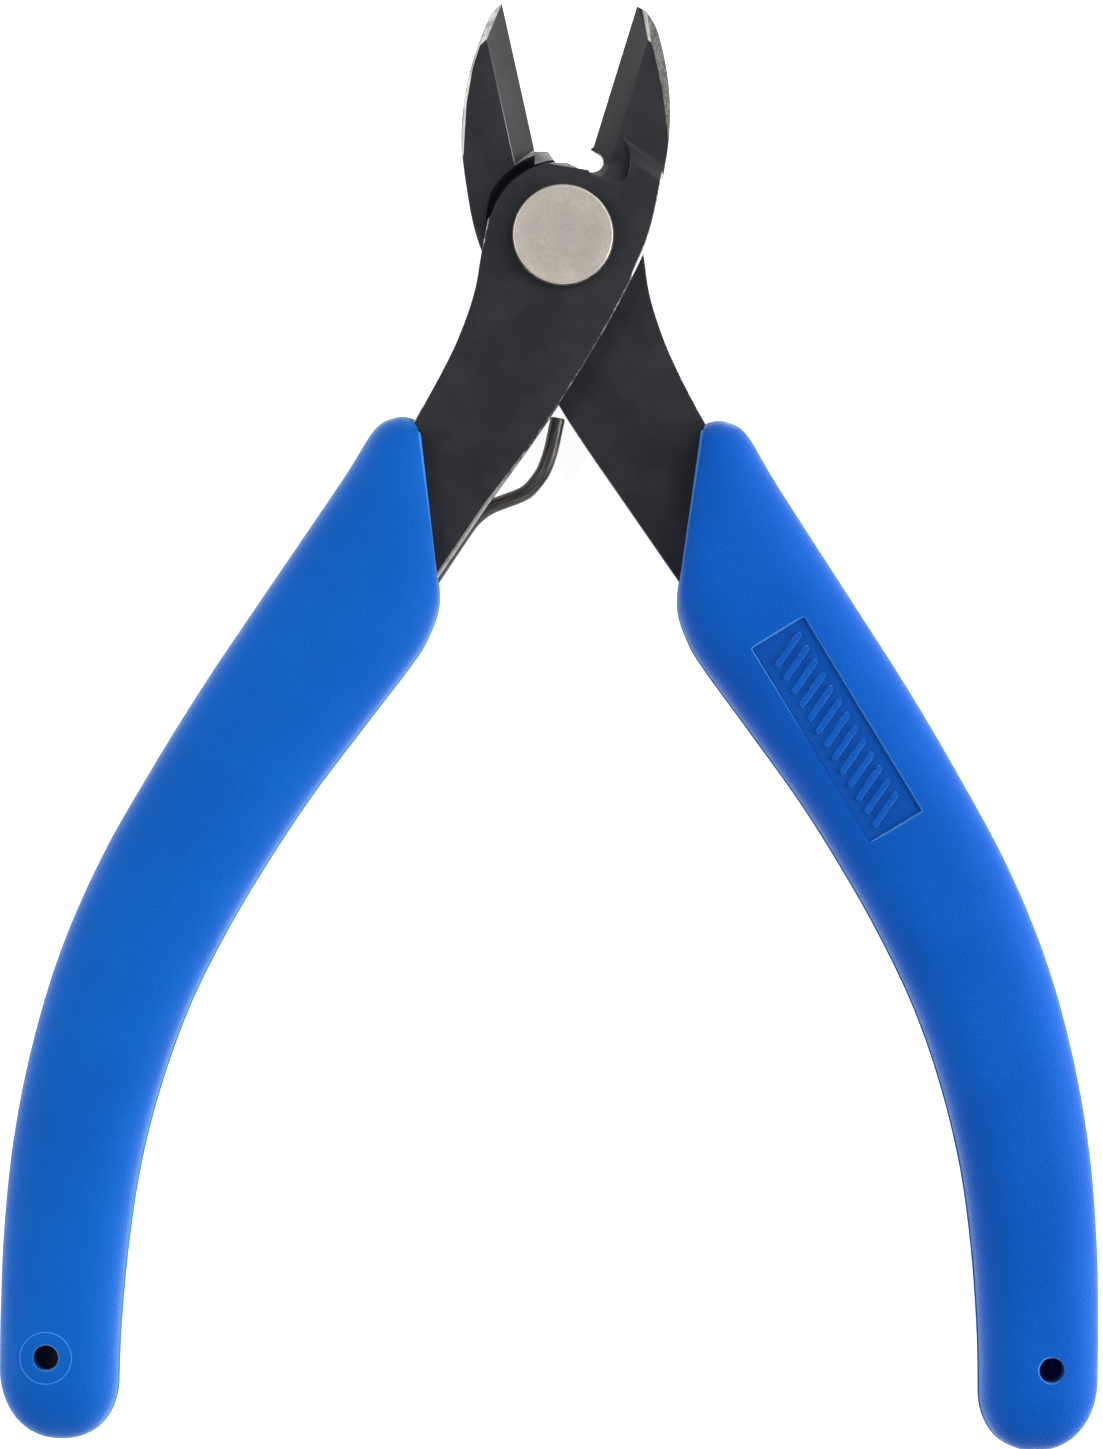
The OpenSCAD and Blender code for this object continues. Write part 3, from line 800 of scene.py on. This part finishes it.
# Outline of the right grip from mouth to end: outer x, y, inner x, y, and share of the half thickness
GRIP_ROWS = [
    (11.65, -15.65, 10.0, -28.5, 0.78),
    (12.4, -15.15, 9.8, -29.6, 0.88),
    (13.75, -15.15, 9.9, -31.2, 0.95),
    (15.45, -16.2, 10.6, -33.2, 0.99),
    (18.05, -20.4, 11.8, -35.3, 1.0),
    (24.4, -30.0, 15.9, -40.8, 1.0),
    (29.25, -37.4, 20.1, -46.5, 1.0),
    (33.7, -44.8, 23.6, -51.9, 1.0),
    (37.6, -51.9, 26.8, -57.4, 1.0),
    (40.85, -59.6, 29.8, -63.5, 1.0),
    (43.1, -67.4, 32.1, -69.9, 1.0),
    (44.55, -75.2, 33.8, -76.6, 1.0),
    (45.25, -82.8, 34.8, -83.4, 1.0),
    (45.45, -89.8, 35.35, -90.0, 1.0),
    (45.45, -94.4, 35.5, -94.6, 0.98),
]
GRIP_HALF = 4.5
MOUTH_ROLL = [(0.95, 0.0), (0.42, 0.02), (0.2, 0.0), (0.04, -0.2)]  # inset and push of each lip ring
MOUTH_ROWS = 3  # rows that the lip rings stand in for
# The band from LIP_RING to the next ring takes the lighter blue: a painted highlight along the mouth's edge.
LIP_RING = 2  # the band from this ring to the next is the light lip
CAP_LENGTH = 5.4
CAP_STEPS = 14
CAP_TURN = 88
CAP_LEAN = -0.04
CAP_PLAN_FULLNESS = 0.85
CAP_FULLNESS = 0.6
SECTION_POWER = 3
RIDGE_OUTER = 0.06
RIDGE_INNER = 0.12
HOLE_XY = (41.35, -92.95)
HOLE_R = 1.05
LEFT_HOLE_BOTTOM = 1.9
RIGHT_HOLE_BOTTOM = 0.25
RIM_START = GRIP_HALF - 0.22
WITNESS_R = 2.13
WITNESS_SIDES = 96
WITNESS_PROFILE = [(-0.08, -0.06), (-0.03, 0.014), (0.03, 0.014), (0.08, -0.06)]  # from the circle and skin
CREASE_DEGREES = 32


def other_side(share):
    """The other coordinate of a point on the unit squared oval."""
    return (1 - share**SECTION_POWER) ** (1 / SECTION_POWER)


def section():
    """Unit section of a grip as (u, v, ridge) points: a squared oval with the parting line's ridge."""
    side = [(0.0, 1.0), (0.02, 0.92), (0.032, 0.0)]
    side += [(v, 0.0) for v in (0.12, 0.22, 0.33, 0.44, 0.54, 0.63, 0.71, 0.77)]
    quarter = [(other_side(v), v, ridge) for v, ridge in side]
    quarter += [(u, other_side(u), 0.0) for u in (0.74, 0.65, 0.56, 0.46, 0.36, 0.25, 0.14, 0.05)]
    ring = quarter + [(-u, v, r) for u, v, r in reversed(quarter)]
    ring += [(-u, -v, r) for u, v, r in quarter[1:]] + [(u, -v, r) for u, v, r in reversed(quarter[1:])]
    return ring


SECTION = section()


def grip_ring(outer, inner, half_depth, ridge=1.0):
    """One ring between two plan points, with the parting ridge at the given share of its height."""
    o, i = Vector(outer), Vector(inner)
    way = (o - i).normalized()
    spare = min(1.0, (o - i).length / 2)
    o, i = o - way * RIDGE_OUTER * spare, i + way * RIDGE_INNER * spare
    mid, half = (o + i) / 2, (o - i) / 2
    ring = []
    for u, v, r in SECTION:
        stands = RIDGE_OUTER if u > 0 else -RIDGE_INNER
        p = mid + half * u + way * (stands * r * ridge)
        ring.append((p.x, p.y, half_depth * v))
    return ring


def grip_rings():
    """Rings of the right grip: the rolled mouth, the handle and the rounded end."""
    rows = smooth(GRIP_ROWS, 7)
    rings = []
    mouth_o, mouth_i = Vector(rows[0][:2]), Vector(rows[0][2:4])
    along = (mouth_i - mouth_o).normalized()
    out_of = Vector((along.y, -along.x))
    if out_of.x > 0:
        out_of = -out_of
    for inset, push in MOUTH_ROLL:
        rings.append(
            grip_ring(
                mouth_o + along * inset + out_of * push,
                mouth_i - along * inset + out_of * push,
                GRIP_HALF * GRIP_ROWS[0][4] - inset,
                0.0,
            )
        )
    rings += [grip_ring(r[0:2], r[2:4], GRIP_HALF * r[4]) for r in rows[MOUTH_ROWS:]]
    o, i = Vector(rows[-1][:2]), Vector(rows[-1][2:4])
    mid, half = (o + i) / 2, (o - i) / 2
    for k in range(1, CAP_STEPS + 1):
        a = math.radians(CAP_TURN * k / CAP_STEPS)
        m = mid + CAP_LENGTH * math.sin(a) * Vector((CAP_LEAN, -1))
        c = math.cos(a)
        reach = half * c**CAP_PLAN_FULLNESS
        depth = GRIP_HALF * GRIP_ROWS[-1][4] * c**CAP_FULLNESS
        rings.append(grip_ring(m + reach, m - reach, depth, min(1.0, 4 * c)))
    return rings


def hole_cutter(x, y, bottom):
    """Blind hole with a rounded rim and a drill point."""
    profile = [
        (0.0, bottom - 0.25),
        (HOLE_R * 0.95, bottom),
        (HOLE_R, bottom + 0.15),
        (HOLE_R, RIM_START),
        (HOLE_R + 0.03, GRIP_HALF - 0.13),
        (HOLE_R + 0.1, GRIP_HALF - 0.05),
        (HOLE_R + 0.25, GRIP_HALF + 0.02),
        (HOLE_R + 0.25, GRIP_HALF + 1.0),
        (0.0, GRIP_HALF + 1.0),
    ]
    mesh = lathe("hole", profile, 48)
    # Rim faces take slot 1 on the grip, the lighter blue painted as the rim's highlight.
    for face in mesh.polygons:
        face.material_index = 1 if face.center.z > RIM_START * MM else 0
    mesh.transform(Matrix.Translation((x * MM, y * MM, 0)))
    return new_object("hole", mesh, [])


def witness_ring(grip, x, y):
    """Thin raised circle round the hole, the mark of a mould insert, laid on the grip's skin and coloured in
    the lighter blue of painted highlight.
    """
    bpy.context.view_layer.update()
    verts = []
    for c, s in unit_circle(WITNESS_SIDES):
        for dr, dz in WITNESS_PROFILE:
            px, py = x + (WITNESS_R + dr) * c, y + (WITNESS_R + dr) * s
            skin = grip.ray_cast(Vector((px, py, GRIP_HALF + 1)) * MM, Vector((0, 0, -1)))[1]
            verts.append((px, py, skin.z / MM + dz))
    loop = tube_faces(WITNESS_SIDES + 1, len(WITNESS_PROFILE))
    faces = [tuple(v % len(verts) for v in face) for face in loop]
    mesh = mesh_from("left_grip_witness", verts, faces)
    outward(mesh)
    shade(mesh, 50)
    return new_object("left_grip_witness", mesh, [MAT["blue_lip_highlight"]])


EMBLEM_XY = (23.0, -40.5)
EMBLEM_W, EMBLEM_L = 5.0, 18.6
EMBLEM_CORNER_R = 0.08
EMBLEM_ANGLE = math.radians(32)
EMBLEM_DEPTH = 0.35
EMBLEM_CHAMFER = 0.2
RIB_COUNT = 13
RIB_PITCH = 1.28
RIB_W, RIB_T, RIB_R = 3.5, 0.6, 0.28
RIB_ANGLE = math.radians(24)
RIB_LOW = GRIP_HALF - EMBLEM_DEPTH - 0.05
RIB_HIGH = GRIP_HALF - 0.12
RIB_TAPER = 0.1
CORNER_STEPS = 5


def rounded_box(name, w, h, r, levels):
    """Prism with a rounded rectangle as its plan, through (height, growth of the plan) levels."""
    rings = []
    for z, grow in levels:
        ring = []
        for cx, cy, start in ((1, 1, 0), (-1, 1, 90), (-1, -1, 180), (1, -1, 270)):
            for s in range(CORNER_STEPS + 1):
                a = math.radians(start + 90 * s / CORNER_STEPS)
                x = cx * (w / 2 - r) + (r + grow) * math.cos(a)
                y = cy * (h / 2 - r) + (r + grow) * math.sin(a)
                ring.append((x, y, z))
        rings.append(ring)
    return lofted(name, rings)


def on_emblem(mesh):
    """Turns the mesh to the emblem's angle and moves it to the emblem's place."""
    place = Matrix.Translation((EMBLEM_XY[0] * MM, EMBLEM_XY[1] * MM, 0))
    mesh.transform(place @ Matrix.Rotation(EMBLEM_ANGLE, 4, "Z"))
    return mesh


def skin_slot(face, ridge_slot):
    """Material slot of a face of a grip's skin: the mouth's edge in the lighter blue of painted highlight,
    the inner parting ridge or the rest.
    """
    sides = len(SECTION)
    if len(face.vertices) != 4:
        return 0
    if min(face.vertices) // sides == LIP_RING:
        return 1
    on_ridge = [k for k in face.vertices if SECTION[k % sides][2] > 0 and SECTION[k % sides][0] < 0]
    return ridge_slot if len(on_ridge) >= 2 else 0


def grip_piece(name, node, body, side, skin):
    """A grip: the skin with its hole, and on the right (side 1) the emblem's recess."""
    mesh = lofted(name, grip_rings())
    mesh.transform(Matrix.Diagonal((side, 1, 1, 1)))
    outward(mesh)
    # Inner ridge: the lighter blue of painted highlight on the left grip, the darker blue of painted shade
    # on the right grip.
    for face in mesh.polygons:
        face.material_index = skin_slot(face, 1 if side < 0 else 2)
    obj = new_object(name, mesh, [MAT[skin], MAT["blue_lip_highlight"], MAT["blue_painted_shade"]])
    x, y = side * HOLE_XY[0], HOLE_XY[1]
    cut_away(obj, hole_cutter(x, y, LEFT_HOLE_BOTTOM if side < 0 else RIGHT_HOLE_BOTTOM))
    if side > 0:
        levels = [
            (GRIP_HALF - EMBLEM_DEPTH, 0.0),
            (GRIP_HALF - EMBLEM_CHAMFER, 0.02),
            (GRIP_HALF + 0.02, EMBLEM_CHAMFER),
            (GRIP_HALF + 1, EMBLEM_CHAMFER),
        ]
        recess = rounded_box("recess", EMBLEM_W, EMBLEM_L, EMBLEM_CORNER_R, levels)
        # The recess's chamfer takes the lighter blue as painted highlight; its walls and floor take the
        # darker blue as painted shade.
        for face in recess.polygons:
            face.material_index = 1 if face.center.z > (GRIP_HALF - EMBLEM_CHAMFER) * MM else 2
        cut_away(obj, new_object("recess", on_emblem(recess), []))
    shade(obj.data, CREASE_DEGREES)
    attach(obj, body)
    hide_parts(node)
    return obj


left_grip = grip_piece("left_grip_moulded", "left_grip", "front_half", -1, "blue")
witness = witness_ring(left_grip, -HOLE_XY[0], HOLE_XY[1])
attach(witness, "front_half")
# The right grip takes the darker copy of the blue: painted shade.
grip_piece("right_grip_moulded", "right_grip", "rear_half", 1, "blue_right_painted_shade")


def emblem_ribs():
    """A generic hatch of raised slanted ribs inside the recess."""
    bm = bmesh.new()
    for k in range(RIB_COUNT):
        rib = rounded_box("rib", RIB_W, RIB_T, RIB_R, [(RIB_LOW, 0.0), (RIB_HIGH, -RIB_TAPER)])
        rib.transform(Matrix.Rotation(RIB_ANGLE, 4, "Z"))
        rib.transform(Matrix.Translation((0, (k - RIB_COUNT // 2) * RIB_PITCH * MM, 0)))
        bm.from_mesh(rib)
        bpy.data.meshes.remove(rib)
    mesh = bpy.data.meshes.new("right_grip_hatch")
    bm.to_mesh(mesh)
    bm.free()
    on_emblem(mesh)
    outward(mesh)
    shade(mesh, CREASE_DEGREES)
    # The hatch takes the right grip's darker blue: painted shade.
    obj = new_object("right_grip_hatch", mesh, [MAT["blue_right_painted_shade"]])
    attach(obj, "rear_half")


emblem_ribs()

# ---------------------------------------------------------------- floor, light and camera

FLOOR_DROP = 0.02
FLOOR_REACH = 2.5
LIGHT_AIM = Vector((0, -0.04, 0))
BACKGROUND_STRENGTH = 0.12
# The camera looks straight down on the front face from VIEW_DISTANCE mm
VIEW_CENTRE = (-0.445, -40.37)
VIEW_HEIGHT = 119.98
VIEW_DISTANCE = 550.0
VIEW_TURN = math.radians(0.72)
SENSOR = 24.0


def floor():
    """Plain pale floor just under the object."""
    z = CAD_BOX[0].z - FLOOR_DROP * MM
    mesh = bpy.data.meshes.new("studio_floor")
    corners = [(x * FLOOR_REACH, y * FLOOR_REACH, z) for x, y in ((-1, -1), (1, -1), (1, 1), (-1, 1))]
    mesh.from_pydata(corners, [], [(0, 1, 2, 3)])
    s = Shader("floor_white")
    s.set(Base_Color=(0.8, 0.8, 0.8, 1), Roughness=0.9, Specular_IOR_Level=0.1)
    s.set(Emission_Color=(1, 1, 1, 1), Emission_Strength=0.8)
    new_object("studio_floor", mesh, [s.mat])


def softbox(name, at, size, power):
    """Soft rectangular light in metres and watts, turned to the object."""
    data = bpy.data.lights.new(name, "AREA")
    data.shape = "RECTANGLE"
    data.size, data.size_y = size
    data.energy = power
    obj = bpy.data.objects.new(name, data)
    bpy.context.scene.collection.objects.link(obj)
    obj.location = at
    obj.rotation_euler = (LIGHT_AIM - Vector(at)).to_track_quat("-Z", "Y").to_euler()


def background():
    """Faint even light from all round."""
    world = bpy.data.worlds.new("studio")
    bpy.context.scene.world = world
    world.use_nodes = True
    shader = world.node_tree.nodes["Background"]
    shader.inputs["Color"].default_value = (1, 1, 1, 1)
    shader.inputs["Strength"].default_value = BACKGROUND_STRENGTH
    bpy.context.scene.view_settings.view_transform = "Standard"


def add_camera():
    """Camera over the front face, turned slightly about its own axis."""
    data = bpy.data.cameras.new("camera")
    data.sensor_fit = "VERTICAL"
    data.sensor_height = SENSOR
    data.lens = SENSOR * VIEW_DISTANCE / VIEW_HEIGHT
    data.clip_start = 0.01
    data.clip_end = 10
    obj = bpy.data.objects.new("camera", data)
    bpy.context.scene.collection.objects.link(obj)
    obj.location = (VIEW_CENTRE[0] * MM, VIEW_CENTRE[1] * MM, VIEW_DISTANCE * MM)
    obj.rotation_euler = (0, 0, VIEW_TURN)
    bpy.context.scene.camera = obj


floor()
softbox("key_upper_right", (0.42, 0.40, 0.52), (0.5, 0.5), 3.9)
softbox("fill_left", (-0.55, 0.05, 0.45), (0.5, 0.6), 3.8)
softbox("fill_low", (0.05, -0.60, 0.45), (0.6, 0.4), 1.3)
softbox("side_right", (0.42, -0.06, 0.11), (0.15, 0.3), 2.2)
background()
add_camera()
